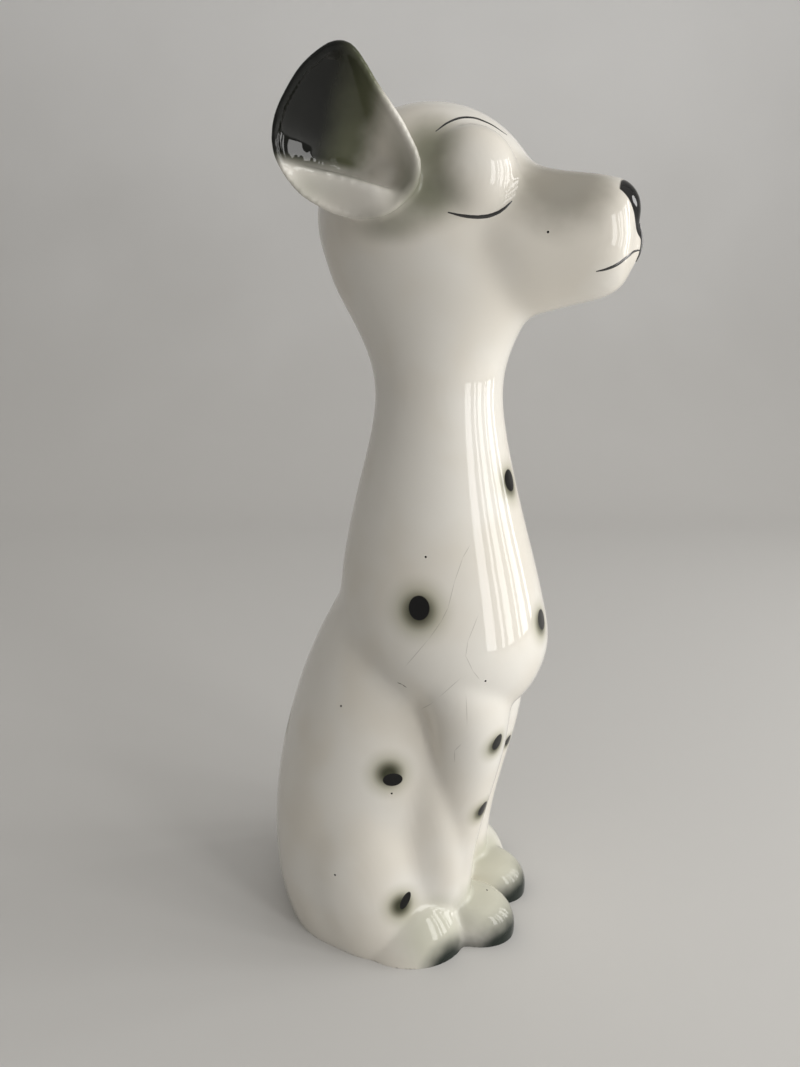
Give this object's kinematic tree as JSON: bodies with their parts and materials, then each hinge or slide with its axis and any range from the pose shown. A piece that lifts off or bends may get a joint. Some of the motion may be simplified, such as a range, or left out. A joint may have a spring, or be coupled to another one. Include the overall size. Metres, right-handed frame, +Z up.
{
  "type": "seated dog figurine",
  "caption": "Tall glazed earthenware dog sitting upright on a long neck, eyes closed, with cupped ears, airbrushed spots and a flat foot to stand on a table or shelf.",
  "frame": {"origin": "on the table, below the middle of the figure's length and width", "axes": "+X is the way the dog looks, +Y is its left side, +Z is up"},
  "size_m": [0.1579, 0.1264, 0.3698],
  "materials": {
    "white_glaze": "clear gloss glaze over a white body, airbrushed in olive black",
    "black_enamel": "gloss black brush lines under the glaze"
  },
  "bodies": {
    "root": {"body_casting": "white_glaze", "head_casting": "white_glaze", "right_ear": "white_glaze", "left_ear": "white_glaze", "right_foreleg": "white_glaze", "left_foreleg": "white_glaze", "right_hind_foot": "white_glaze", "left_hind_foot": "white_glaze"}
  },
  "joints": []
}
